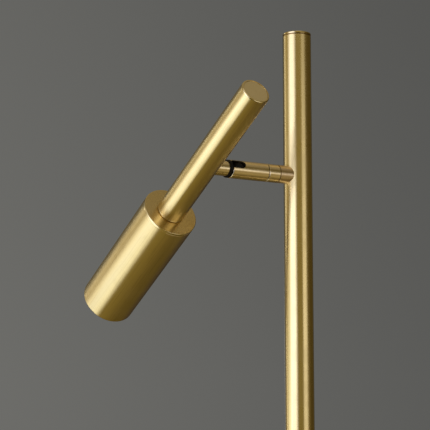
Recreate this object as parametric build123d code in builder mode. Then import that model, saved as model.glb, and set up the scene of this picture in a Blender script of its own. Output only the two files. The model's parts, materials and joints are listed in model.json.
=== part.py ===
# Floor lamp: weighted base, two-length pole, slotted ball swivel on a short arm, tube head with a spot shade.
# Frame: +Z up, origin at the middle of the base on the floor, arm along -X. All sizes in millimetres.
import os
from math import acos, asin, cos, degrees, hypot, radians, sin, sqrt

from build123d import *

# Overall
lamp_height = 1500.0
pole_seam_height = 760.0
arm_drop = 129.5  # pole top down to the arm's axis
head_lean = 58.2  # head tube's angle from upright, at rest

# Fits and gaps
thread_fit = 0.06  # radial, threaded pieces
plug_fit = 0.06  # radial, plugs in tubes
hole_clear = 0.25  # radial, plain clearance holes
mouth_fit = 0.05  # between a collar's mouth and its tube
seam_gap = 0.55  # shadow line between visible pieces
seam_edge = 0.2  # broken edges on both sides of a fine seam
lip_share = 0.7  # most of a wall that its rounded lip takes
running_fit = 0.08  # radial, turning surfaces
tilt_clear = 0.35  # between the swivel sleeve and what swings past it

# Base
base_d = 250.0
base_h = 20.0
pad_t = 2.0
pad_inset = 4.0
cover_wall = 1.2
cover_edge_r = 4.0
cover_lift = 1.0
weight_gap = 0.5
nut_recess_d = 36.0
nut_recess_h = 12.0
stud_d = 10.0
stud_bore_d = 6.6
stud_tail = 2.0
washer_d = 28.0
washer_t = 2.0
nut_across = 17.0
nut_h = 6.0
grommet_d = 8.6
grommet_neck_d = 7.0
grommet_bore_d = 5.0
grommet_lip = 1.2
groove_clear = 0.4

# Pole
pole_d = 25.4
pole_wall = 1.5
pole_edge = 0.35  # broken edge under the cap
plug_len = 30.0
plug_thread_len = 24.0
joiner_len = 70.0
joiner_bore_d = 12.0
cap_t = 1.6
cap_gap = 0.9  # shadow line under the cap's disc
cap_edge_r = 0.6
cap_plug_len = 14.0
cap_neck_inset = 1.2

# Arm and swivel
arm_d = 16.0
anchor_h = 24.0
anchor_t = 8.0
arm_stud_bore_d = 6.0
saddle_len = 11.1
ring_len = 11.4
ring_thread_len = 8.0
ring_edge = 0.3
spigot_len = 14.2
spigot_groove_at = 7.0
spigot_groove_w = 2.6
spigot_groove_depth = 1.4
sleeve_len = 37.25
sleeve_edge_r = 0.9  # rounded front edge
pivot_setback = 8.7  # sleeve's open end back to the ball's centre
ball_d = 12.4
neck_d = 7.4
neck_bore_d = 3.0
slot_side_clear = 0.3
screw_d = 3.0
screw_tip_d = 2.0
screw_tip_clear = 0.2
screw_socket_across = 1.5
screw_socket_depth = 1.2
cup_front_setback = 4.3  # ball's centre back to the cup's rim
cup_len = 7.0
cup_fit = 0.05
spring_t = 0.6
spring_inner_d = 6.4
spring_clear = 0.1

# Neck
joint_ring_d = 15.6
joint_ring_w = 2.3  # width of the rim that shows
collar_d = 13.2
collar_len = 11.13
collar_edge = 0.3

# Head
tube_d = 25.0
tube_wall = 1.6
tube_rise = 94.5  # arm axis up to the tube's closed end
shade_drop = 63.0  # arm axis down to the shade's top plate
tube_anchor_h = 18.0
tube_anchor_t = 6.0
tube_lip_r = 1.1  # rounded rim round the end cap
end_cap_t = 4.0
end_cap_inset = 0.25  # rim down to the cap's face
tube_plug_len = 16.0
foot_t = 1.6
foot_neck_t = 0.5
foot_neck_inset = 1.0
plate_t = 2.4
plate_edge_r = 0.6
plate_spigot_len = 8.0
plate_spigot_wall = 1.4

# Shade
shade_d = 50.0
shade_wall = 2.0
shade_len = 136.2  # with the top plate
shade_lip_r = 1.4  # outer edge of the mouth

# Lamp module
shade_stud_bore_d = 5.0
sink_hub_d = 18.0
sink_hub_h = 9.0
sink_fin_h = 44.0
sink_fin_t = 1.8
sink_fin_count = 12
sink_floor_t = 6.0
sink_gap = 0.3
board_d = 32.0
board_t = 1.6
emitter_d = 12.0
emitter_t = 0.9
board_screw_pcd = 25.0
board_screw_d = 2.5
board_screw_head_d = 4.5
board_screw_head_h = 1.6
board_screw_len = 6.0
board_screw_count = 2
reflector_h = 30.0
reflector_wall = 1.0
reflector_bulge = 2.6
reflector_gap = 0.6
lens_t = 2.5
bezel_h = 4.5
bezel_land = 3.0

# Derived: pole and arm, where D is the distance from the pole's axis along the arm
pole_r = pole_d / 2
pole_bore_r = pole_r - pole_wall
arm_height = lamp_height - arm_drop
arm_r = arm_d / 2
stud_r = stud_d / 2
saddle_end = pole_r + saddle_len
ring_end = saddle_end + ring_len
sleeve_start = ring_end + seam_gap
sleeve_end = sleeve_start + sleeve_len
pivot_at = sleeve_end - pivot_setback
ball_r = ball_d / 2
bore_r = ball_r + running_fit
neck_r = neck_d / 2
slot_r = neck_r + slot_side_clear
groove_at = ring_end + spigot_groove_at
groove_floor_r = bore_r - running_fit - spigot_groove_depth

# Derived: neck and head, where u is the distance up the tube from the arm's axis
sweep_r = hypot(pivot_setback, arm_r) + tilt_clear
joint_ring_r = joint_ring_d / 2
joint_ring_start = pivot_at + sqrt(sweep_r**2 - joint_ring_r**2)
collar_start = joint_ring_start + joint_ring_w
tube_r = tube_d / 2
tube_bore_r = tube_r - tube_wall
tube_at = collar_start + collar_len + tube_r
neck_end = tube_at - tube_bore_r + tube_anchor_t
shade_r = shade_d / 2
shade_bore_r = shade_r - shade_wall
plate_top = -shade_drop
plate_under = plate_top - plate_t
shade_mouth = plate_top - shade_len
sink_fins_top = plate_under - sink_hub_h
sink_floor_top = sink_fins_top - sink_fin_h
sink_under = sink_floor_top - sink_floor_t
board_under = sink_under - board_t
emitter_under = board_under - emitter_t
reflector_under = board_under - reflector_h
lens_under = reflector_under - lens_t
bezel_under = lens_under - bezel_h
module_r = shade_bore_r - sink_gap

# Directions and planes
up_tube = (0, -sin(radians(head_lean)), cos(radians(head_lean)))
across = (0, -cos(radians(head_lean)), -sin(radians(head_lean)))
arm_origin = (0, 0, arm_height)
pivot_point = (-pivot_at, 0, arm_height)
head_origin = (-tube_at, 0, arm_height)
arm_axis = Axis(arm_origin, (-1, 0, 0))
head_axis = Axis(head_origin, up_tube)
arm_plane = Plane(arm_origin, x_dir=up_tube, z_dir=(-1, 0, 0))  # square to the arm
arm_section = Plane(arm_origin, x_dir=up_tube, z_dir=across)  # x is the radius, y is D
slot_plane = Plane(pivot_point, x_dir=(-1, 0, 0), z_dir=up_tube)  # square to the slot
head_plane = Plane(head_origin, x_dir=(1, 0, 0), z_dir=up_tube)  # square to the tube
head_section = Plane(head_origin, x_dir=(1, 0, 0), z_dir=across)  # x is the radius, y is u

# Base
weight_r = base_d / 2 - cover_wall - weight_gap
weight_top = base_h - cover_wall
recess_top = pad_t + nut_recess_h
groove_w = grommet_d + 2 * groove_clear
groove_mid = pad_t + groove_w / 2
rear_plane = Plane((base_d / 2, 0, groove_mid), x_dir=(0, 1, 0), z_dir=(1, 0, 0))

with BuildPart() as base_pad:
    with BuildSketch():
        Circle(weight_r - pad_inset)
    extrude(amount=pad_t)

with BuildPart() as base_weight:
    with BuildSketch(Plane.XY.offset(pad_t)):
        Circle(weight_r)
    extrude(amount=weight_top - pad_t)
    chamfer(base_weight.edges().group_by(Axis.Z)[-1], length=cover_edge_r)
    with BuildSketch(Plane.XY.offset(pad_t)):
        Circle(nut_recess_d / 2)
    extrude(amount=nut_recess_h, mode=Mode.SUBTRACT)
    with BuildSketch(Plane.XY.offset(pad_t)):
        Circle(stud_r + hole_clear)
    extrude(amount=weight_top, mode=Mode.SUBTRACT)
    with BuildSketch(Plane.XY.offset(pad_t)):
        Rectangle(base_d, groove_w, align=(Align.MIN, Align.CENTER))
    extrude(amount=groove_w, mode=Mode.SUBTRACT)

with BuildPart() as base_cover:
    with BuildSketch(Plane.XY.offset(cover_lift)):
        Circle(base_d / 2)
    extrude(amount=base_h - cover_lift)
    fillet(base_cover.edges().group_by(Axis.Z)[-1], radius=cover_edge_r)
    offset(amount=-cover_wall, openings=base_cover.faces().sort_by(Axis.Z)[0])
    with BuildSketch(Plane.XY):
        Circle(stud_r + hole_clear)
    extrude(amount=2 * base_h, mode=Mode.SUBTRACT)
    with BuildSketch(rear_plane):
        Circle(grommet_neck_d / 2 + plug_fit)
    extrude(amount=2 * cover_wall, both=True, mode=Mode.SUBTRACT)

# The bush's inner lip stands clear of the wall's inward curve.
grommet_sag = base_d / 2 - sqrt((base_d / 2) ** 2 - (grommet_d / 2) ** 2)
with BuildPart() as cord_grommet:
    with BuildSketch(rear_plane):
        Circle(grommet_d / 2)
    extrude(amount=grommet_lip)
    fillet(cord_grommet.edges().group_by(Axis.X)[-1], radius=grommet_lip / 2)
    with BuildSketch(rear_plane):
        Circle(grommet_neck_d / 2)
    extrude(amount=-cover_wall - 2 * grommet_sag)
    with BuildSketch(rear_plane.offset(-cover_wall - 2 * grommet_sag)):
        Circle(grommet_d / 2)
    extrude(amount=-grommet_lip)
    with BuildSketch(rear_plane.offset(grommet_lip)):
        Circle(grommet_bore_d / 2)
    extrude(amount=-2 * base_h, mode=Mode.SUBTRACT)

with BuildPart() as base_washer:
    with BuildSketch(Plane.XY.offset(recess_top - washer_t)):
        Circle(washer_d / 2)
        Circle(stud_r + hole_clear, mode=Mode.SUBTRACT)
    extrude(amount=washer_t)

with BuildPart() as base_nut:
    with BuildSketch(Plane.XY.offset(recess_top - washer_t - nut_h)):
        RegularPolygon(nut_across / 2, 6, major_radius=False)
        Circle(stud_r + thread_fit, mode=Mode.SUBTRACT)
    extrude(amount=nut_h)

stud_bottom = recess_top - washer_t - nut_h - stud_tail
with BuildPart() as base_stud:
    with BuildSketch(Plane.XY.offset(stud_bottom)):
        Circle(stud_r)
        Circle(stud_bore_d / 2, mode=Mode.SUBTRACT)
    extrude(amount=base_h + plug_thread_len - stud_bottom)

# Pole
with BuildPart() as pole_plug:
    with BuildSketch(Plane.XY.offset(base_h)):
        Circle(pole_bore_r - plug_fit)
        Circle(stud_r + thread_fit, mode=Mode.SUBTRACT)
    extrude(amount=plug_len)

with BuildPart() as lower_pole:
    with BuildSketch(Plane.XY.offset(base_h)):
        Circle(pole_r)
        Circle(pole_bore_r, mode=Mode.SUBTRACT)
    extrude(amount=pole_seam_height - base_h)
    chamfer(lower_pole.edges().group_by(Axis.Z)[-1].sort_by(SortBy.RADIUS)[-1], length=seam_edge)

with BuildPart() as pole_joiner:
    with BuildSketch(Plane.XY.offset(pole_seam_height)):
        Circle(pole_bore_r - plug_fit)
        Circle(joiner_bore_d / 2, mode=Mode.SUBTRACT)
    extrude(amount=joiner_len / 2, both=True)

pole_end = lamp_height - cap_t - cap_gap
with BuildPart() as upper_pole:
    with BuildSketch(Plane.XY.offset(pole_seam_height)):
        Circle(pole_r)
        Circle(pole_bore_r, mode=Mode.SUBTRACT)
    extrude(amount=pole_end - pole_seam_height)
    chamfer(upper_pole.edges().group_by(Axis.Z)[0].sort_by(SortBy.RADIUS)[-1], length=seam_edge)
    chamfer(upper_pole.edges().group_by(Axis.Z)[-1].sort_by(SortBy.RADIUS)[-1], length=pole_edge)
    with BuildSketch(arm_plane):
        Circle(stud_r + hole_clear)
    extrude(amount=pole_d, mode=Mode.SUBTRACT)

# The cap stands on a narrow neck, which leaves a shadow line under its disc.
with BuildPart() as pole_cap:
    with BuildSketch(Plane.XY.offset(lamp_height - cap_t)):
        Circle(pole_r)
    extrude(amount=cap_t)
    fillet(pole_cap.edges().group_by(Axis.Z)[-1], radius=cap_edge_r)
    with BuildSketch(Plane.XY.offset(pole_end)):
        Circle(pole_r - cap_neck_inset)
    extrude(amount=cap_gap)
    with BuildSketch(Plane.XY.offset(pole_end)):
        Circle(pole_bore_r - plug_fit)
    extrude(amount=-cap_plug_len)

# Arm
with BuildPart() as arm_anchor:
    with BuildSketch(Plane.XY.offset(arm_height - anchor_h / 2)):
        Circle(pole_bore_r - plug_fit)
        with Locations((anchor_t - pole_bore_r, 0)):
            Rectangle(pole_d, pole_d, align=(Align.MIN, Align.CENTER), mode=Mode.SUBTRACT)
    extrude(amount=anchor_h)
    with BuildSketch(arm_plane):
        Circle(stud_r + thread_fit)
    extrude(amount=pole_d, mode=Mode.SUBTRACT)

arm_stud_start = pole_bore_r - anchor_t
with BuildPart() as arm_stud:
    with BuildSketch(arm_plane.offset(arm_stud_start)):
        Circle(stud_r)
        Circle(arm_stud_bore_d / 2, mode=Mode.SUBTRACT)
    extrude(amount=saddle_end + ring_thread_len - arm_stud_start)

with BuildPart() as arm_saddle:
    with BuildSketch(arm_plane):
        Circle(arm_r)
    extrude(amount=saddle_end)
    with BuildSketch(arm_plane):
        Circle(stud_r + hole_clear)
    extrude(amount=saddle_end, mode=Mode.SUBTRACT)
    with BuildSketch(Plane.XY.offset(arm_height)):
        Circle(pole_r + mouth_fit)
    extrude(amount=arm_d, both=True, mode=Mode.SUBTRACT)
    chamfer(arm_saddle.edges().group_by(arm_axis)[-1].sort_by(SortBy.RADIUS)[-1], length=ring_edge)

spigot_r = bore_r - running_fit
with BuildPart() as swivel_ring:
    with BuildSketch(arm_section):
        with BuildLine():
            Polyline(
                (stud_r + thread_fit, saddle_end),
                (arm_r - ring_edge, saddle_end),
                (arm_r, saddle_end + ring_edge),
                (arm_r, ring_end - ring_edge),
                (arm_r - ring_edge, ring_end),
                (spigot_r, ring_end),
                (spigot_r, groove_at - spigot_groove_w / 2),
                (groove_floor_r, groove_at - spigot_groove_w / 2),
                (groove_floor_r, groove_at + spigot_groove_w / 2),
                (spigot_r, groove_at + spigot_groove_w / 2),
                (spigot_r, ring_end + spigot_len),
                (arm_stud_bore_d / 2, ring_end + spigot_len),
                (arm_stud_bore_d / 2, saddle_end + ring_thread_len),
                (stud_r + thread_fit, saddle_end + ring_thread_len),
                close=True,
            )
        make_face()
    revolve(axis=arm_axis)

# Swivel: a cup bored from behind, round inside at its closed front, with a slot from its middle to one side
with BuildPart() as swivel_sleeve:
    with BuildSketch(arm_section):
        with BuildLine():
            Polyline(
                (0, pivot_at + bore_r),
                (0, sleeve_end),
                (arm_r - sleeve_edge_r, sleeve_end),
            )
            CenterArc((arm_r - sleeve_edge_r, sleeve_end - sleeve_edge_r), sleeve_edge_r, 0, 90)
            Polyline(
                (arm_r, sleeve_end - sleeve_edge_r),
                (arm_r, sleeve_start + ring_edge),
                (arm_r - ring_edge, sleeve_start),
                (bore_r, sleeve_start),
                (bore_r, pivot_at),
            )
            CenterArc((0, pivot_at), bore_r, 0, 90)
        make_face()
    revolve(axis=arm_axis)
    with BuildSketch(slot_plane):
        Circle(slot_r)
        Rectangle(2 * pivot_setback, 2 * slot_r, align=(Align.MIN, Align.CENTER))
    extrude(amount=arm_d, mode=Mode.SUBTRACT)
    with BuildSketch(arm_plane.offset(pivot_at)):
        Circle(slot_r)
    extrude(amount=2 * pivot_setback, mode=Mode.SUBTRACT)
    with BuildSketch(slot_plane.offset(-bore_r / 2)):
        with Locations((groove_at - pivot_at, 0)):
            Circle(screw_d / 2 + thread_fit)
    extrude(amount=-arm_d, mode=Mode.SUBTRACT)

screw_tip_r = groove_floor_r + screw_tip_clear
screw_out_r = sqrt(arm_r**2 - (screw_d / 2) ** 2)
with BuildPart() as swivel_screw:
    with BuildSketch(slot_plane.offset(-bore_r)):
        with Locations((groove_at - pivot_at, 0)):
            Circle(screw_d / 2)
    extrude(amount=bore_r - screw_out_r)
    with BuildSketch(slot_plane.offset(-bore_r)):
        with Locations((groove_at - pivot_at, 0)):
            Circle(screw_tip_d / 2)
    extrude(amount=bore_r - screw_tip_r)
    with BuildSketch(slot_plane.offset(-screw_out_r)):
        with Locations((groove_at - pivot_at, 0)):
            RegularPolygon(screw_socket_across / 2, 6, major_radius=False)
    extrude(amount=screw_socket_depth, mode=Mode.SUBTRACT)

# The cup's front is dished to the ball.
cup_front = pivot_at - cup_front_setback
cup_back = cup_front - cup_len
cup_bore_r = neck_bore_d / 2
dish_from = -degrees(asin(cup_front_setback / bore_r))
dish_to = -degrees(acos(cup_bore_r / bore_r))
with BuildPart() as friction_cup:
    with BuildSketch(arm_section):
        with BuildLine():
            dish = CenterArc((0, pivot_at), bore_r, dish_from, dish_to - dish_from)
            Polyline(
                dish @ 0,
                (bore_r - cup_fit, cup_front),
                (bore_r - cup_fit, cup_back),
                (cup_bore_r, cup_back),
                dish @ 1,
            )
        make_face()
    revolve(axis=arm_axis)

# Disc spring: a shallow cone from the spigot's nose to the back of the cup
spring_back = ring_end + spigot_len + spring_clear
spring_outer_r = bore_r - cup_fit
with BuildPart() as spring_washer:
    with BuildSketch(arm_section):
        with BuildLine():
            Polyline(
                (spring_inner_d / 2, spring_back),
                (spring_outer_r, cup_back - spring_t),
                (spring_outer_r, cup_back),
                (spring_inner_d / 2, spring_back + spring_t),
                close=True,
            )
        make_face()
    revolve(axis=arm_axis)

# Neck
with BuildPart() as swivel_ball:
    with Locations(pivot_point):
        Sphere(ball_r)
    with BuildSketch(arm_plane.offset(pivot_at)):
        Circle(neck_r)
    extrude(amount=neck_end - pivot_at)
    with BuildSketch(arm_plane.offset(pivot_at - ball_d)):
        Circle(neck_bore_d / 2)
    extrude(amount=neck_end, mode=Mode.SUBTRACT)

# The ring's face is dished about the ball's centre, so that the sleeve's corner passes under it.
with BuildPart() as joint_ring:
    with BuildSketch(arm_plane.offset(pivot_at)):
        Circle(joint_ring_r)
        Circle(neck_r + thread_fit, mode=Mode.SUBTRACT)
    extrude(amount=collar_start - pivot_at)
    with Locations(pivot_point):
        Sphere(sweep_r, mode=Mode.SUBTRACT)

with BuildPart() as neck_collar:
    with BuildSketch(arm_plane.offset(collar_start)):
        Circle(collar_d / 2)
    extrude(amount=collar_len + tube_r)
    chamfer(neck_collar.edges().group_by(arm_axis)[0], length=collar_edge)
    with BuildSketch(arm_plane.offset(collar_start)):
        Circle(neck_r + thread_fit)
    extrude(amount=collar_len + tube_r, mode=Mode.SUBTRACT)
    with BuildSketch(head_plane):
        Circle(tube_r + mouth_fit)
    extrude(amount=arm_d, both=True, mode=Mode.SUBTRACT)

# Head tube
tube_bottom = plate_top + foot_t
with BuildPart() as head_tube:
    with BuildSketch(head_plane.offset(tube_bottom)):
        Circle(tube_r)
        Circle(tube_bore_r, mode=Mode.SUBTRACT)
    extrude(amount=tube_rise - tube_bottom)
    chamfer(head_tube.edges().group_by(head_axis)[0].sort_by(SortBy.RADIUS)[-1], length=seam_edge)
    fillet(head_tube.edges().group_by(head_axis)[-1].sort_by(SortBy.RADIUS)[-1], radius=min(tube_lip_r, lip_share * tube_wall))
    with BuildSketch(arm_plane.offset(collar_start)):
        Circle(neck_r + hole_clear)
    extrude(amount=tube_at - collar_start, mode=Mode.SUBTRACT)

with BuildPart() as tube_anchor:
    with BuildSketch(head_plane):
        Circle(tube_bore_r - plug_fit)
        with Locations((tube_bore_r - tube_anchor_t, 0)):
            Rectangle(tube_d, tube_d, align=(Align.MAX, Align.CENTER), mode=Mode.SUBTRACT)
    extrude(amount=tube_anchor_h / 2, both=True)
    with BuildSketch(arm_plane.offset(collar_start)):
        Circle(neck_r + thread_fit)
    extrude(amount=tube_d, mode=Mode.SUBTRACT)

with BuildPart() as tube_end_cap:
    with BuildSketch(head_plane.offset(tube_rise - end_cap_inset)):
        Circle(tube_bore_r - plug_fit)
    extrude(amount=-end_cap_t)
    chamfer(tube_end_cap.edges().group_by(head_axis)[-1], length=seam_edge)

with BuildPart() as tube_plug:
    with BuildSketch(head_plane.offset(tube_bottom)):
        Circle(tube_bore_r - plug_fit)
        Circle(stud_r + thread_fit, mode=Mode.SUBTRACT)
    extrude(amount=tube_plug_len)

# The foot's rim stands on a narrow neck, which leaves a shadow line above the plate.
with BuildPart() as tube_foot:
    with BuildSketch(head_plane.offset(plate_top + foot_neck_t)):
        Circle(tube_r)
    extrude(amount=foot_t - foot_neck_t)
    chamfer(tube_foot.edges(), length=seam_edge)
    with BuildSketch(head_plane.offset(plate_top)):
        Circle(tube_r - foot_neck_inset)
    extrude(amount=foot_neck_t)
    with BuildSketch(head_plane.offset(plate_top)):
        Circle(stud_r + hole_clear)
    extrude(amount=foot_t, mode=Mode.SUBTRACT)

shade_stud_top = tube_bottom + tube_plug_len
with BuildPart() as shade_stud:
    with BuildSketch(head_plane.offset(sink_fins_top)):
        Circle(stud_r)
        Circle(shade_stud_bore_d / 2, mode=Mode.SUBTRACT)
    extrude(amount=shade_stud_top - sink_fins_top)

# Shade
plate_spigot_r = shade_bore_r - plug_fit
with BuildPart() as shade_plate:
    with BuildSketch(head_section):
        with BuildLine():
            Polyline(
                (stud_r + hole_clear, plate_top),
                (shade_r, plate_top),
                (shade_r, plate_under + seam_edge),
                (shade_r - seam_edge, plate_under),
                (plate_spigot_r, plate_under),
                (plate_spigot_r, plate_under - plate_spigot_len),
                (plate_spigot_r - plate_spigot_wall, plate_under - plate_spigot_len),
                (plate_spigot_r - plate_spigot_wall, plate_under),
                (stud_r + hole_clear, plate_under),
                close=True,
            )
        make_face()
    revolve(axis=head_axis)
    fillet(shade_plate.edges().group_by(head_axis)[-1].sort_by(SortBy.RADIUS)[-1], radius=plate_edge_r)

mouth_lip_r = min(shade_lip_r, lip_share * shade_wall)
with BuildPart() as shade:
    with BuildSketch(head_plane.offset(shade_mouth)):
        Circle(shade_r)
        Circle(shade_bore_r, mode=Mode.SUBTRACT)
    extrude(amount=plate_under - shade_mouth)
    chamfer(shade.edges().group_by(head_axis)[-1].sort_by(SortBy.RADIUS)[-1], length=seam_edge)
    fillet(shade.edges().group_by(head_axis)[0].sort_by(SortBy.RADIUS)[-1], radius=mouth_lip_r)
    fillet(shade.edges().group_by(head_axis)[0].sort_by(SortBy.RADIUS)[0], radius=(shade_wall - mouth_lip_r) / 2)

# Lamp module, stacked from the plate down to the bezel
with BuildPart() as heat_sink:
    with BuildSketch(head_plane.offset(sink_under)):
        Circle(module_r)
    extrude(amount=sink_floor_t)
    with BuildSketch(head_plane.offset(sink_floor_top)):
        Circle(sink_hub_d / 2)
    extrude(amount=plate_under - sink_floor_top)
    with BuildSketch(head_plane.offset(sink_floor_top)):
        with PolarLocations(0, sink_fin_count):
            Rectangle(module_r - sink_fin_t, sink_fin_t, align=(Align.MIN, Align.CENTER))
    extrude(amount=sink_fin_h)
    with BuildSketch(head_plane.offset(plate_under)):
        Circle(stud_r + thread_fit)
    extrude(amount=-sink_hub_h, mode=Mode.SUBTRACT)
    with BuildSketch(head_plane.offset(sink_under)):
        with PolarLocations(board_screw_pcd / 2, board_screw_count):
            Circle(board_screw_d / 2 + thread_fit)
    extrude(amount=board_screw_len, mode=Mode.SUBTRACT)

with BuildPart() as led_board:
    with BuildSketch(head_plane.offset(board_under)):
        Circle(board_d / 2)
        with PolarLocations(board_screw_pcd / 2, board_screw_count):
            Circle(board_screw_d / 2 + hole_clear, mode=Mode.SUBTRACT)
    extrude(amount=board_t)

with BuildPart() as led_emitter:
    with BuildSketch(head_plane.offset(emitter_under)):
        Circle(emitter_d / 2)
    extrude(amount=emitter_t)

with BuildPart() as board_screws:
    with BuildSketch(head_plane.offset(board_under)):
        with PolarLocations(board_screw_pcd / 2, board_screw_count):
            Circle(board_screw_head_d / 2)
    extrude(amount=-board_screw_head_h)
    with BuildSketch(head_plane.offset(board_under)):
        with PolarLocations(board_screw_pcd / 2, board_screw_count):
            Circle(board_screw_d / 2)
    extrude(amount=board_t + board_screw_len - hole_clear)

# The reflector's bowl swells outwards between the emitter and the lens.
bowl_neck_r = emitter_d / 2 + reflector_gap
bowl_mouth_r = module_r - bezel_land
with BuildPart() as reflector:
    with BuildSketch(head_section):
        with BuildLine():
            SagittaArc((bowl_neck_r, board_under), (bowl_mouth_r, reflector_under), reflector_bulge)
            Polyline(
                (bowl_mouth_r, reflector_under),
                (module_r, reflector_under),
                (module_r, reflector_under + reflector_wall),
                (bowl_mouth_r + reflector_wall, reflector_under + reflector_wall),
            )
            SagittaArc(
                (bowl_mouth_r + reflector_wall, reflector_under + reflector_wall),
                (bowl_neck_r + reflector_wall, board_under),
                -reflector_bulge,
            )
            Line((bowl_neck_r + reflector_wall, board_under), (bowl_neck_r, board_under))
        make_face()
    revolve(axis=head_axis)

with BuildPart() as lens:
    with BuildSketch(head_plane.offset(lens_under)):
        Circle(module_r)
    extrude(amount=lens_t)

with BuildPart() as lens_bezel:
    with BuildSketch(head_section):
        with BuildLine():
            Polyline(
                (bowl_mouth_r, lens_under),
                (shade_bore_r - plug_fit, lens_under),
                (shade_bore_r - plug_fit, bezel_under),
                (shade_bore_r - plug_fit - bezel_land / 3, bezel_under),
                close=True,
            )
        make_face()
    revolve(axis=head_axis)

pieces = {
    "base_pad": base_pad,
    "base_weight": base_weight,
    "base_cover": base_cover,
    "cord_grommet": cord_grommet,
    "base_stud": base_stud,
    "base_washer": base_washer,
    "base_nut": base_nut,
    "pole_plug": pole_plug,
    "lower_pole": lower_pole,
    "pole_joiner": pole_joiner,
    "upper_pole": upper_pole,
    "pole_cap": pole_cap,
    "arm_anchor": arm_anchor,
    "arm_stud": arm_stud,
    "arm_saddle": arm_saddle,
    "swivel_ring": swivel_ring,
    "swivel_sleeve": swivel_sleeve,
    "swivel_screw": swivel_screw,
    "spring_washer": spring_washer,
    "friction_cup": friction_cup,
    "swivel_ball": swivel_ball,
    "joint_ring": joint_ring,
    "neck_collar": neck_collar,
    "tube_anchor": tube_anchor,
    "head_tube": head_tube,
    "tube_end_cap": tube_end_cap,
    "tube_plug": tube_plug,
    "tube_foot": tube_foot,
    "shade_stud": shade_stud,
    "shade_plate": shade_plate,
    "shade": shade,
    "heat_sink": heat_sink,
    "led_board": led_board,
    "led_emitter": led_emitter,
    "board_screws": board_screws,
    "reflector": reflector,
    "lens": lens,
    "lens_bezel": lens_bezel,
}
os.makedirs("parts", exist_ok=True)
for name, piece in pieces.items():
    piece.part.label = name
    export_step(piece.part, f"parts/{name}.step")
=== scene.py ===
# Floor lamp with a spot head on a slotted swivel: finishes, studio and camera around the CAD frame.
import json
import math

import bpy
from mathutils import Euler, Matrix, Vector


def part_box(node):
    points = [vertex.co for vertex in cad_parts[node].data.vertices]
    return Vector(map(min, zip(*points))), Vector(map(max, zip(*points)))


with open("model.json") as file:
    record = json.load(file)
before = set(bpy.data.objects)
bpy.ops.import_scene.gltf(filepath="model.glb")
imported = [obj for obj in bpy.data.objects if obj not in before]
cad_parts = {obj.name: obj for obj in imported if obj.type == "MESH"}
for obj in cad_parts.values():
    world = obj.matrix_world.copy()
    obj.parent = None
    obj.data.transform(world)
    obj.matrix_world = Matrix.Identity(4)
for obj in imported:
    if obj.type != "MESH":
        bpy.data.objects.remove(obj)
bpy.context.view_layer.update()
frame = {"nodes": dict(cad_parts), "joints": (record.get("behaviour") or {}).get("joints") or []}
nodes = frame["nodes"]
joints = {joint["name"]: joint for joint in frame["joints"]}
print("frame loaded,", len(nodes), "CAD nodes")


# Shader building

def addNode(tree, kind, **settings):
    node = tree.nodes.new("ShaderNode" + kind)
    for name, value in settings.items():
        setattr(node, name, value)
    return node


def mathNode(tree, operation, first, second=None):
    node = addNode(tree, "Math", operation=operation)
    for socket, value in zip(node.inputs, (first, second)):
        if value is None:
            continue
        if isinstance(value, (int, float)):
            socket.default_value = value
        else:
            tree.links.new(value, socket)
    return node.outputs[0]


def spread(tree, value, low, high, toLow=0.0, toHigh=1.0):
    node = addNode(tree, "MapRange", interpolation_type="SMOOTHSTEP")
    tree.links.new(value, node.inputs["Value"])
    for name, number in zip(("From Min", "From Max", "To Min", "To Max"), (low, high, toLow, toHigh)):
        node.inputs[name].default_value = number
    return node.outputs["Result"]


def mixColours(tree, share, first, second):
    node = addNode(tree, "Mix", data_type="RGBA")
    tree.links.new(share, node.inputs["Factor"])
    for name, colour in zip(("A", "B"), (first, second)):
        socket = [s for s in node.inputs if s.name == name and s.type == "RGBA"][0]
        if isinstance(colour, tuple):
            socket.default_value = (*colour, 1)
        else:
            tree.links.new(colour, socket)
    return [s for s in node.outputs if s.type == "RGBA"][0]


def noise(tree, vector, scale, detail=2.0):
    node = addNode(tree, "TexNoise")
    node.inputs["Detail"].default_value = detail
    tree.links.new(vector, node.inputs["Vector"])
    tree.links.new(scale, node.inputs["Scale"])
    return node.outputs[0]


def splitVector(tree, vector):
    parts = addNode(tree, "SeparateXYZ")
    tree.links.new(vector, parts.inputs[0])
    return parts.outputs


def radiusOf(tree, parts):
    across = mathNode(tree, "POWER", parts["X"], 2.0)
    along = mathNode(tree, "POWER", parts["Y"], 2.0)
    return mathNode(tree, "SQRT", mathNode(tree, "ADD", across, along))


def newGroup(name, inputs, outputs):
    group = bpy.data.node_groups.new(name, "ShaderNodeTree")
    for label, value in inputs.items():
        kind = "NodeSocketVector" if label == "Vector" else "NodeSocketFloat"
        socket = group.interface.new_socket(label, in_out="INPUT", socket_type=kind)
        if value is not None:
            socket.default_value = value
    for label in outputs:
        group.interface.new_socket(label, in_out="OUTPUT", socket_type="NodeSocketFloat")
    return group, group.nodes.new("NodeGroupInput"), group.nodes.new("NodeGroupOutput")


# Long fine lines that run up a drawn tube
def makeDrawnLines():
    inputs = {"Vector": None, "Density": 900.0, "Stretch": 0.02}
    group, start, end = newGroup("drawnLines", inputs, ["Height"])
    parts = splitVector(group, start.outputs["Vector"])
    packed = addNode(group, "CombineXYZ")
    group.links.new(parts["X"], packed.inputs["X"])
    group.links.new(parts["Y"], packed.inputs["Y"])
    stretched = mathNode(group, "MULTIPLY", parts["Z"], start.outputs["Stretch"])
    group.links.new(stretched, packed.inputs["Z"])
    lines = noise(group, packed.outputs[0], start.outputs["Density"])
    group.links.new(lines, end.inputs["Height"])
    return group


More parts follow.
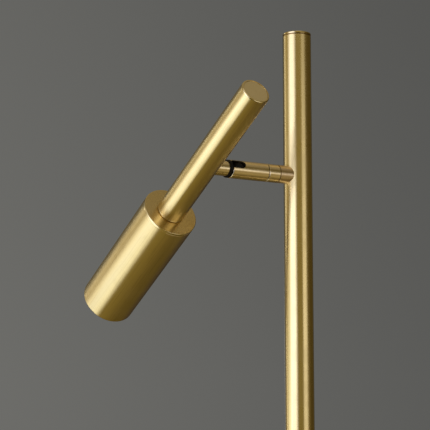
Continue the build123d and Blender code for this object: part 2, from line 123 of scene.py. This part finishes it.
# Rings left by the lathe: round the sides, and about the middle of a face
def makeTurnedRings():
    group, start, end = newGroup("turnedRings", {"Vector": None, "Density": 900.0}, ["Height"])
    parts = splitVector(group, start.outputs["Vector"])
    packed = addNode(group, "CombineXYZ")
    group.links.new(radiusOf(group, parts), packed.inputs["X"])
    group.links.new(parts["Z"], packed.inputs["Z"])
    rings = noise(group, packed.outputs[0], start.outputs["Density"])
    group.links.new(rings, end.inputs["Height"])
    return group


# Soft clouds of tone, and the haze that hands and cloths leave
handlingLook = {"cloudDetail": 3.0, "tone": (0.3, 0.7), "finer": 3.7, "smearDetail": 5.0, "haze": (0.42, 0.72)}


def makeHandling():
    group, start, end = newGroup("handling", {"Vector": None, "Scale": 12.0}, ["Tone", "Haze"])
    vector, scale = start.outputs["Vector"], start.outputs["Scale"]
    cloud = noise(group, vector, scale, handlingLook["cloudDetail"])
    group.links.new(spread(group, cloud, *handlingLook["tone"]), end.inputs["Tone"])
    finer = mathNode(group, "MULTIPLY", scale, handlingLook["finer"])
    smear = noise(group, vector, finer, handlingLook["smearDetail"])
    group.links.new(spread(group, smear, *handlingLook["haze"]), end.inputs["Haze"])
    return group


# Small grains of a casting, a moulding or a coat of paint
grainLook = {"coarser": 0.3, "speck": (0.45, 0.75)}


def makeGrain():
    group, start, end = newGroup("grain", {"Vector": None, "Scale": 1500.0}, ["Height", "Speck"])
    vector, scale = start.outputs["Vector"], start.outputs["Scale"]
    cells = addNode(group, "TexVoronoi")
    group.links.new(vector, cells.inputs["Vector"])
    group.links.new(scale, cells.inputs["Scale"])
    group.links.new(cells.outputs["Distance"], end.inputs["Height"])
    coarser = mathNode(group, "MULTIPLY", scale, grainLook["coarser"])
    specks = spread(group, noise(group, vector, coarser), *grainLook["speck"])
    group.links.new(specks, end.inputs["Speck"])
    return group


# A band about a height on the axis, and the rim past a radius
bandFade = 0.5  # share of a band's half width that it fades over


def makeEdgeBands():
    inputs = {"Vector": None, "Height": 0.0, "Radius": 1.0, "Width": 0.0005}
    group, start, end = newGroup("edgeBands", inputs, ["Band", "Rim"])
    parts = splitVector(group, start.outputs["Vector"])
    width = start.outputs["Width"]

    def ramp(value, reach):
        share = mathNode(group, "DIVIDE", value, reach)
        return mathNode(group, "MAXIMUM", mathNode(group, "MINIMUM", share, 1.0), 0.0)

    away = mathNode(group, "SUBTRACT", parts["Z"], start.outputs["Height"])
    inside = mathNode(group, "SUBTRACT", width, mathNode(group, "ABSOLUTE", away))
    group.links.new(ramp(inside, mathNode(group, "MULTIPLY", width, bandFade)), end.inputs["Band"])
    past = mathNode(group, "SUBTRACT", radiusOf(group, parts), start.outputs["Radius"])
    group.links.new(ramp(past, width), end.inputs["Rim"])
    return group


drawnLines = makeDrawnLines()
turnedRings = makeTurnedRings()
handling = makeHandling()
grain = makeGrain()
edgeBands = makeEdgeBands()
print("shader groups made")


def middle(node):
    low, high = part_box(node)
    return (low + high) / 2


# Where each turned piece has its axis: local Z runs along it
tiltAxis = joints["head_tilt"]["axis"]
headLean = math.atan2(tiltAxis[2], tiltAxis[1])
axes = {
    "pole": {"place": (0, 0, 0), "turn": (0, 0, 0)},
    "head": {"place": middle("head_tube"), "turn": (headLean, 0, 0)},
    "arm": {"place": joints["arm_swivel"]["pos_m"], "turn": (0, -math.pi / 2, 0)},
}


def alongAxis(axis):
    return Euler(axis["turn"]).to_matrix() @ Vector((0, 0, 1))


def startMaterial(name, axis=None):
    material = bpy.data.materials.new(name)
    material.use_nodes = True
    tree = material.node_tree
    vector = addNode(tree, "TexCoord").outputs["Object"]
    if axis:
        mapping = addNode(tree, "Mapping", vector_type="TEXTURE")
        mapping.inputs["Location"].default_value = axis["place"]
        mapping.inputs["Rotation"].default_value = axis["turn"]
        tree.links.new(vector, mapping.inputs["Vector"])
        vector = mapping.outputs["Vector"]
    return material, tree, tree.nodes["Principled BSDF"], vector


def useGroup(tree, group, vector, **values):
    node = addNode(tree, "Group", node_tree=group)
    tree.links.new(vector, node.inputs["Vector"])
    for name, value in values.items():
        node.inputs[name].default_value = value
    return node.outputs


def addBump(tree, shader, height, depth):
    bump = addNode(tree, "Bump")
    bump.inputs["Strength"].default_value = 1.0
    bump.inputs["Distance"].default_value = depth
    tree.links.new(height, bump.inputs["Height"])
    tree.links.new(bump.outputs["Normal"], shader.inputs["Normal"])


# Brass

satinBrass = {
    "colour": (0.885, 0.715, 0.37), "deep": (0.865, 0.69, 0.345), "gloss": 0.28, "haze": 0.32, "brushed": 0.85,
    "lineDensity": 900.0, "lineDepth": 0.0000005, "streaks": 0.22,
}
poleBrass = {
    "colour": (0.885, 0.715, 0.37), "deep": (0.865, 0.69, 0.345), "gloss": 0.27, "haze": 0.31, "brushed": 0.8,
    "lineDensity": 900.0, "lineDepth": 0.0000005, "streaks": 0.12,
}
# Painted shade: the turned faces of the shade plate and base cover get a darker copy of the brass colour
shadedFaceBrass = {
    "colour": (0.80, 0.635, 0.32), "deep": (0.78, 0.61, 0.30), "gloss": 0.24, "haze": 0.28, "brushed": 0.35,
    "lineDensity": 1200.0, "lineDepth": 0.000003, "streaks": 0.3,
}
# Painted light: the end caps of the head tube and the pole get a lighter copy of the brass colour
litCapBrass = {
    "colour": (0.95, 0.81, 0.52), "deep": (0.93, 0.78, 0.49), "gloss": 0.24, "haze": 0.28, "brushed": 0.2,
    "lineDensity": 1200.0, "lineDepth": 0.000002, "streaks": 0.08,
}
# Pinker turned brass of the arm; its colour is also lifted lighter as painted light
turnedBrass = {
    "colour": (0.97, 0.80, 0.51), "deep": (0.94, 0.765, 0.475), "gloss": 0.22, "haze": 0.27, "brushed": 0.4,
    "lineDensity": 2200.0, "lineDepth": 0.000008, "streaks": 0.12,
}
# Pinker brass of the saddle; its colour is also lifted lighter as painted light
saddleBrass = {
    "colour": (0.92, 0.73, 0.50), "deep": (0.84, 0.65, 0.42), "gloss": 0.28, "haze": 0.36, "brushed": 0.6,
    "lineDensity": 1000.0, "lineDepth": 0.00005, "streaks": 0.5,
}
brassMarks = {"scale": 14.0, "lineFrom": 0.5, "lineTo": 0.75, "lineShade": (0.42, 0.30, 0.12)}
# Painted shade: a dark band in the colour at the seams and just under the pole cap, where shadow falls in the
# gaps
seamShade = {"colour": (0.22, 0.14, 0.065), "width": 0.0006, "capRise": 0.0004}
polishedEdge = {
    "colour": (0.88, 0.72, 0.40), "rough": 0.16, "endWidth": 0.0013, "rimWidth": 0.0003, "rimDepth": 0.0007,
}
brushedFrom = 10.0  # metres down the axis, where the lines of gloss start
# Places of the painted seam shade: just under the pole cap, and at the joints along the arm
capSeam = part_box("upper_pole")[1].z + seamShade["capRise"]
armSeams = [axes["arm"]["place"][0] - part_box(node)[1].x for node in ("swivel_sleeve", "swivel_ring")]


# Brushing goes round the axis, so gloss spreads along a side and outwards over a face
def addBrushing(tree, shader, axis, share):
    shader.inputs["Anisotropic"].default_value = share
    away = addNode(tree, "VectorMath", operation="SUBTRACT")
    tree.links.new(addNode(tree, "TexCoord").outputs["Object"], away.inputs[0])
    away.inputs[1].default_value = Vector(axis["place"]) - brushedFrom * alongAxis(axis)
    turned = addNode(tree, "VectorTransform", vector_type="VECTOR", convert_from="OBJECT", convert_to="WORLD")
    tree.links.new(away.outputs[0], turned.inputs[0])
    tree.links.new(turned.outputs[0], shader.inputs["Tangent"])


# How far a piece reaches up its axis, and where its rim starts
def axisTop(node, axis):
    along, place = alongAxis(axis), Vector(axis["place"])
    return max(along.dot(corner.co - place) for corner in nodes[node].data.vertices)


def rimOf(node):
    low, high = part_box(node)
    return (high.x - low.x) / 2 - polishedEdge["rimDepth"]


# Brass with its lines and haze, painted shade in the seams, and edges that handling keeps bright
def makeBrass(name, look, axis, lines, seams=(), ends=(), rim=None):
    material, tree, shader, vector = startMaterial(name, axis)
    marks = useGroup(tree, handling, vector, Scale=brassMarks["scale"])
    finish = useGroup(tree, lines, vector, Density=look["lineDensity"])
    metal = mixColours(tree, marks["Tone"], look["colour"], look["deep"])
    streaks = spread(tree, finish["Height"], brassMarks["lineFrom"], brassMarks["lineTo"], 0, look["streaks"])
    metal = mixColours(tree, streaks, metal, brassMarks["lineShade"])
    rough = spread(tree, marks["Haze"], 0, 1, look["gloss"], look["haze"])
    # Painted shade: each seam is darkened in the colour
    for place in seams:
        paintedSeam = useGroup(tree, edgeBands, vector, Height=place, Width=seamShade["width"])
        metal = mixColours(tree, paintedSeam["Band"], metal, seamShade["colour"])
    bright = []
    for place in ends:
        edge = useGroup(tree, edgeBands, vector, Height=place, Width=polishedEdge["endWidth"])
        bright.append(edge["Band"])
    if rim:
        edge = useGroup(tree, edgeBands, vector, Radius=rim, Width=polishedEdge["rimWidth"])
        bright.append(edge["Rim"])
    for share in bright:
        metal = mixColours(tree, share, metal, polishedEdge["colour"])
        rest = mathNode(tree, "MULTIPLY", rough, mathNode(tree, "SUBTRACT", 1.0, share))
        rough = mathNode(tree, "ADD", rest, mathNode(tree, "MULTIPLY", share, polishedEdge["rough"]))
    tree.links.new(metal, shader.inputs["Base Color"])
    tree.links.new(rough, shader.inputs["Roughness"])
    shader.inputs["Metallic"].default_value = 1.0
    addBrushing(tree, shader, axis, look["brushed"])
    addBump(tree, shader, finish["Height"], look["lineDepth"])
    return material


# Plain finishes

plainLooks = {
    "rubberPad": {"colour": (0.022, 0.022, 0.022), "pale": (0.035, 0.035, 0.034), "rough": (0.62, 0.8),
                  "metal": 0.0, "scale": 1800.0, "depth": 0.00006},
    "castIron": {"colour": (0.10, 0.10, 0.102), "pale": (0.16, 0.155, 0.15), "rough": (0.5, 0.75),
                 "metal": 0.8, "scale": 700.0, "depth": 0.00012},
    "blackBush": {"colour": (0.012, 0.012, 0.012), "pale": (0.02, 0.02, 0.02), "rough": (0.42, 0.55),
                  "metal": 0.0, "scale": 2600.0, "depth": 0.00002},
    "platedSteel": {"colour": (0.56, 0.56, 0.55), "pale": (0.66, 0.65, 0.60), "rough": (0.24, 0.38),
                    "metal": 1.0, "scale": 900.0, "depth": 0.000004},
    "blackNylon": {"colour": (0.008, 0.008, 0.008), "pale": (0.014, 0.014, 0.013), "rough": (0.45, 0.6),
                   "metal": 0.0, "scale": 2000.0, "depth": 0.000015},
    "blackJoint": {"colour": (0.003, 0.003, 0.003), "pale": (0.006, 0.006, 0.005), "rough": (0.5, 0.65),
                   "metal": 0.0, "specular": 0.2, "scale": 2400.0, "depth": 0.000008},
    "machinedAluminium": {"colour": (0.62, 0.62, 0.63), "pale": (0.72, 0.72, 0.73), "rough": (0.26, 0.4),
                          "metal": 1.0, "scale": 1100.0, "depth": 0.000003},
    "phosphorGel": {"colour": (0.86, 0.62, 0.08), "pale": (0.90, 0.70, 0.16), "rough": (0.3, 0.42),
                    "metal": 0.0, "scale": 1600.0, "depth": 0.00003},
    "blackAnodised": {"colour": (0.010, 0.010, 0.011), "pale": (0.018, 0.018, 0.019), "rough": (0.4, 0.55),
                      "metal": 0.3, "scale": 2200.0, "depth": 0.000006},
}
plainMarks = {"scale": 20.0, "specular": 0.5}


def makePlain(name, look):
    material, tree, shader, vector = startMaterial(name)
    grains = useGroup(tree, grain, vector, Scale=look["scale"])
    marks = useGroup(tree, handling, vector, Scale=plainMarks["scale"])
    tree.links.new(mixColours(tree, grains["Speck"], look["colour"], look["pale"]), shader.inputs["Base Color"])
    tree.links.new(spread(tree, marks["Haze"], 0, 1, *look["rough"]), shader.inputs["Roughness"])
    shader.inputs["Metallic"].default_value = look["metal"]
    shader.inputs["Specular IOR Level"].default_value = look.get("specular", plainMarks["specular"])
    addBump(tree, shader, grains["Height"], look["depth"])
    return material


mirrorBowl = {
    "colour": (0.90, 0.90, 0.89), "deep": (0.82, 0.82, 0.82), "gloss": 0.07, "haze": 0.13, "brushed": 0.0,
    "lineDensity": 1500.0, "lineDepth": 0.000002, "streaks": 0.0,
}
frostedLens = {
    "colour": (0.93, 0.94, 0.94), "rough": (0.28, 0.36), "ior": 1.49, "marks": 30.0,
    "scale": 2400.0, "depth": 0.00002,
}


def makeLens():
    material, tree, shader, vector = startMaterial("frostedLens", axes["head"])
    marks = useGroup(tree, handling, vector, Scale=frostedLens["marks"])
    grains = useGroup(tree, grain, vector, Scale=frostedLens["scale"])
    tree.links.new(spread(tree, marks["Haze"], 0, 1, *frostedLens["rough"]), shader.inputs["Roughness"])
    shader.inputs["Base Color"].default_value = (*frostedLens["colour"], 1)
    shader.inputs["Transmission Weight"].default_value = 1.0
    shader.inputs["IOR"].default_value = frostedLens["ior"]
    addBump(tree, shader, grains["Height"], frostedLens["depth"])
    return material


finishes = {
    "poleBrass": makeBrass("poleBrass", poleBrass, axes["pole"], drawnLines),
    "headBrass": makeBrass("headBrass", satinBrass, axes["head"], drawnLines,
                           ends=[axisTop("head_tube", axes["head"])]),
    "shadedFaceBrass": makeBrass("shadedFaceBrass", shadedFaceBrass, axes["head"], turnedRings, rim=rimOf("shade_plate")),
    "litCapBrass": makeBrass("litCapBrass", litCapBrass, axes["head"], turnedRings),
    "poleCapBrass": makeBrass("poleCapBrass", litCapBrass, axes["pole"], turnedRings,
                              seams=[capSeam], rim=rimOf("pole_cap")),
    "discBrass": makeBrass("discBrass", shadedFaceBrass, axes["pole"], turnedRings),
    "armBrass": makeBrass("armBrass", turnedBrass, axes["arm"], turnedRings, seams=armSeams),
    "saddleBrass": makeBrass("saddleBrass", saddleBrass, axes["arm"], turnedRings, seams=armSeams),
    "mirrorBowl": makeBrass("mirrorBowl", mirrorBowl, axes["head"], turnedRings),
    "frostedLens": makeLens(),
}
for name, look in plainLooks.items():
    finishes[name] = makePlain(name, look)

wears = {
    "poleBrass": ["lower_pole", "upper_pole"],
    "discBrass": ["base_cover"],
    "poleCapBrass": ["pole_cap"],
    "headBrass": ["head_tube", "shade", "tube_foot"],
    "shadedFaceBrass": ["shade_plate"],
    "litCapBrass": ["tube_end_cap"],
    "armBrass": ["swivel_ring", "swivel_sleeve", "neck_collar"],
    "saddleBrass": ["arm_saddle"],
    "rubberPad": ["base_pad"],
    "castIron": ["base_weight"],
    "blackBush": ["cord_grommet"],
    "platedSteel": ["base_stud", "base_washer", "base_nut", "pole_plug", "pole_joiner", "arm_anchor", "arm_stud",
                    "swivel_screw", "spring_washer", "tube_anchor", "tube_plug", "shade_stud", "board_screws"],
    "blackNylon": ["friction_cup"],
    "blackJoint": ["swivel_ball", "joint_ring"],
    "machinedAluminium": ["heat_sink", "led_board"],
    "phosphorGel": ["led_emitter"],
    "mirrorBowl": ["reflector"],
    "frostedLens": ["lens"],
    "blackAnodised": ["lens_bezel"],
}
for finish, names in wears.items():
    for name in names:
        nodes[name].data.materials[0] = finishes[finish]
print("finishes on", sum(len(names) for names in wears.values()), "nodes")


# Floor: pale near the lamp, fading into the backdrop; in the brass it shows a painted reflection, a dimmer
# glowing colour with painted pools of light

floorLook = {
    "size": 12.0, "colour": (0.74, 0.725, 0.69), "pale": (0.79, 0.775, 0.74), "rough": 0.8,
    # inBrass is the painted reflection colour of the floor; paintedLightPools are painted pools of light on it
    "cloudScale": 1.5, "fadeFrom": 1.0, "fadeTo": 4.5, "inBrass": (0.092, 0.068, 0.016),
    "paintedLightPools": [{"place": (-0.9, 0.3, 0), "reach": 1.6, "colour": (0.25, 0.197, 0.06)},
                   {"place": (1.25, -1.37, 0), "reach": 1.5, "colour": (0.33, 0.265, 0.12)}],
}


def makeFloor():
    bpy.ops.object.select_all(action="DESELECT")
    bpy.ops.mesh.primitive_plane_add(size=floorLook["size"])
    floor = bpy.context.object
    floor.name = "floor"
    material, tree, shader, vector = startMaterial("floorPaint")
    cloud = useGroup(tree, handling, vector, Scale=floorLook["cloudScale"])
    paint = mixColours(tree, cloud["Tone"], floorLook["colour"], floorLook["pale"])
    # Painted reflection: glossy rays see this glowing colour, with painted pools of light, in place of the lit
    # floor
    warm = floorLook["inBrass"]
    for patch in floorLook["paintedLightPools"]:
        away = addNode(tree, "VectorMath", operation="DISTANCE")
        tree.links.new(vector, away.inputs[0])
        away.inputs[1].default_value = patch["place"]
        near = spread(tree, away.outputs["Value"], patch["reach"], 0)
        warm = mixColours(tree, near, warm, patch["colour"])
    tree.links.new(paint, shader.inputs["Base Color"])
    shader.inputs["Roughness"].default_value = floorLook["rough"]
    # The floor glows with the painted reflection colour for glossy rays
    glow = addNode(tree, "Emission")
    tree.links.new(warm, glow.inputs["Color"])
    seen = addNode(tree, "MixShader")
    tree.links.new(addNode(tree, "LightPath").outputs["Is Glossy Ray"], seen.inputs[0])
    tree.links.new(shader.outputs[0], seen.inputs[1])
    tree.links.new(glow.outputs[0], seen.inputs[2])
    reach = addNode(tree, "VectorMath", operation="LENGTH")
    tree.links.new(vector, reach.inputs[0])
    fade = addNode(tree, "MixShader")
    gone = spread(tree, reach.outputs["Value"], floorLook["fadeFrom"], floorLook["fadeTo"])
    gone = mathNode(tree, "MAXIMUM", gone, addNode(tree, "NewGeometry").outputs["Backfacing"])
    tree.links.new(gone, fade.inputs[0])
    tree.links.new(seen.outputs[0], fade.inputs[1])
    tree.links.new(addNode(tree, "BsdfTransparent").outputs[0], fade.inputs[2])
    tree.links.new(fade.outputs[0], tree.nodes["Material Output"].inputs["Surface"])
    material.cycles.emission_sampling = "NONE"
    floor.data.materials.append(material)


makeFloor()


# Camera, fitted to the outlines in the photograph

cameraView = {"place": (-0.6705, -0.9153, 1.19055), "azimuth": -32.5, "rise": 7.3, "lens": 107.86, "sensor": 36.0}


def makeCamera():
    data = bpy.data.cameras.new("camera")
    data.lens = cameraView["lens"]
    data.sensor_width = cameraView["sensor"]
    camera = bpy.data.objects.new("camera", data)
    bpy.context.scene.collection.objects.link(camera)
    around = math.radians(cameraView["azimuth"])
    rise = math.radians(cameraView["rise"])
    ahead = Vector((-math.sin(around) * math.cos(rise), math.cos(around) * math.cos(rise), math.sin(rise)))
    camera.location = cameraView["place"]
    camera.rotation_mode = "QUATERNION"
    camera.rotation_quaternion = ahead.to_track_quat("-Z", "Y")
    bpy.context.scene.camera = camera


makeCamera()


# Studio light: soft boxes with soft edges, and a card low on the left that shows in reflections only

softBoxes = {
    "sidePanel": {"place": (-1.35, -0.32, 1.45), "aim": (0, -0.32, 1.45), "size": (2.15, 1.9), "glow": 1.36,
                  "tint": (0.91, 1, 1.35), "edges": (0.4, 0.4, 0.35, 0.35)},
    "sideCard": {"place": (-1.13, 0.64, 0.74), "aim": (-0.115, 0, 1.24), "size": (1.85, 1.95), "glow": 1.06,
                 "tint": (0.93, 1, 1.06), "edges": (0.48, 0.25, 0.32, 0.42), "inBrassOnly": True},
    "stripBox": {"place": (-0.75, 1.5, 1.5), "aim": (0, 0, 1.4), "size": (0.26, 1.5), "glow": 0.72,
                 "tint": (1, 1, 1), "edges": (0.1, 0.1, 0.1, 0.1)},
    "shoulderBox": {"place": (-0.8, 1.0, 1.62), "aim": (-0.08, -0.12, 1.4), "size": (0.4, 0.6), "glow": 0.22,
                    "tint": (1, 1, 1), "edges": (0.3, 0.3, 0.3, 0.3)},
    "frontPanel": {"place": (0.45, -2.05, 1.3), "aim": (0, 0, 1.3), "size": (1.5, 1.5), "glow": 0.71,
                   "tint": (1, 1, 1.05), "edges": (0.25, 0.25, 0.3, 0.3)},
    "lowPanel": {"place": (1.15, -1.87, 1.12), "aim": (0, 0, 1.3), "size": (0.6, 0.75), "glow": 0.6,
                 "tint": (1, 1, 1), "edges": (0.3, 0.3, 0.5, 0.3)},
    "backPanel": {"place": (0.9, 2.0, 0.9), "aim": (0, 0, 1.0), "size": (0.5, 1.6), "glow": 0.45,
                  "tint": (1, 1, 1), "edges": (0.3, 0.3, 0.3, 0.3)},
    "topPanel": {"place": (-0.4, -1.3, 3.1), "aim": (-0.2, -0.6, 0), "size": (1.6, 1.6), "glow": 0.35,
                 "tint": (1, 1, 1), "edges": (0.1, 0.1, 0.1, 0.1)},
}
boxPower = 4.0  # watts for each square metre at a glow of 1


def addSoftBox(name, box):
    data = bpy.data.lights.new(name, "AREA")
    data.shape = "RECTANGLE"
    data.size, data.size_y = box["size"]
    data.energy = boxPower * box["glow"] * data.size * data.size_y
    data.color = box["tint"]
    data.use_nodes = True
    tree = data.node_tree
    place = splitVector(tree, addNode(tree, "NewGeometry").outputs["Parametric"])
    glow = None
    for side, start, edge in zip("XXYY", (0, 1, 0, 1), box["edges"]):
        ramp = spread(tree, place[side], start, abs(start - edge))
        glow = ramp if glow is None else mathNode(tree, "MULTIPLY", glow, ramp)
    tree.links.new(glow, tree.nodes["Emission"].inputs["Strength"])
    lamp = bpy.data.objects.new(name, data)
    bpy.context.scene.collection.objects.link(lamp)
    lamp.location = box["place"]
    lamp.rotation_mode = "QUATERNION"
    lamp.rotation_quaternion = (Vector(box["aim"]) - Vector(box["place"])).to_track_quat("-Z", "Y")
    lamp.visible_camera = False
    lamp.visible_diffuse = not box.get("inBrassOnly", False)


for name, box in softBoxes.items():
    addSoftBox(name, box)

# Room: a grey wall behind the lamp, and the tones that brass and glass see round it
roomLook = {
    "wallLeft": (0.163, 0.162, 0.151), "wallRight": (0.0945, 0.0945, 0.0895), "wallFrom": -0.35, "wallTo": 0.35,
    "wallFade": 0.45, "fadeMost": 0.2, "fill": (0.236, 0.205, 0.195),
    "tones": [  # from and to: how much a direction points to the side
        {"side": "right", "from": -0.6, "to": -0.9, "colour": (0.30, 0.23, 0.085)},
        {"side": "right", "from": 0.3, "to": 0.8, "colour": (0.068, 0.05, 0.014)},
        {"side": "front", "from": 0.1, "to": 0.9, "colour": (0.233, 0.187, 0.06)},
        {"side": "front", "from": -0.78, "to": -0.92, "colour": (0.035, 0.028, 0.018)},
        {"side": "up", "from": 0.35, "to": 0.85, "colour": (0.265, 0.222, 0.138)},
        {"side": "up", "from": -0.15, "to": -0.4, "colour": (0.046, 0.036, 0.045)},
        {"side": "lowRight", "from": 0.88, "to": 0.985, "colour": (0.36, 0.29, 0.15)},
    ],
}


def makeRoom():
    world = bpy.data.worlds.new("room")
    bpy.context.scene.world = world
    world.use_nodes = True
    world.cycles.sampling_method = "NONE"
    tree = world.node_tree
    backdrop = tree.nodes["Background"]
    direction = addNode(tree, "TexCoord").outputs["Generated"]
    around = math.radians(cameraView["azimuth"])
    sides = {
        "right": (math.cos(around), math.sin(around), 0),
        "front": (math.sin(around), -math.cos(around), 0),
        "up": (0, 0, 1),
        "lowRight": (0.6, -0.65, -0.46),
    }
    facing = {}
    for side, vector in sides.items():
        node = addNode(tree, "VectorMath", operation="DOT_PRODUCT")
        tree.links.new(direction, node.inputs[0])
        node.inputs[1].default_value = vector
        facing[side] = node.outputs["Value"]

    across = spread(tree, facing["right"], roomLook["wallFrom"], roomLook["wallTo"])
    wall = mixColours(tree, across, roomLook["wallLeft"], roomLook["wallRight"])
    rise = mathNode(tree, "MULTIPLY", facing["up"], roomLook["wallFade"])
    wall = mixColours(tree, mathNode(tree, "MINIMUM", rise, roomLook["fadeMost"]), wall, (0, 0, 0))
    room = wall
    for tone in roomLook["tones"]:
        share = spread(tree, facing[tone["side"]], tone["from"], tone["to"])
        room = mixColours(tree, share, room, tone["colour"])
    rays = addNode(tree, "LightPath")
    light = mixColours(tree, rays.outputs["Is Camera Ray"], roomLook["fill"], wall)
    shiny = mathNode(tree, "MAXIMUM", rays.outputs["Is Glossy Ray"], rays.outputs["Is Transmission Ray"])
    tree.links.new(mixColours(tree, shiny, light, room), backdrop.inputs["Color"])


makeRoom()
bpy.context.scene.view_settings.view_transform = "Standard"
print("studio ready,", len(softBoxes), "soft boxes")
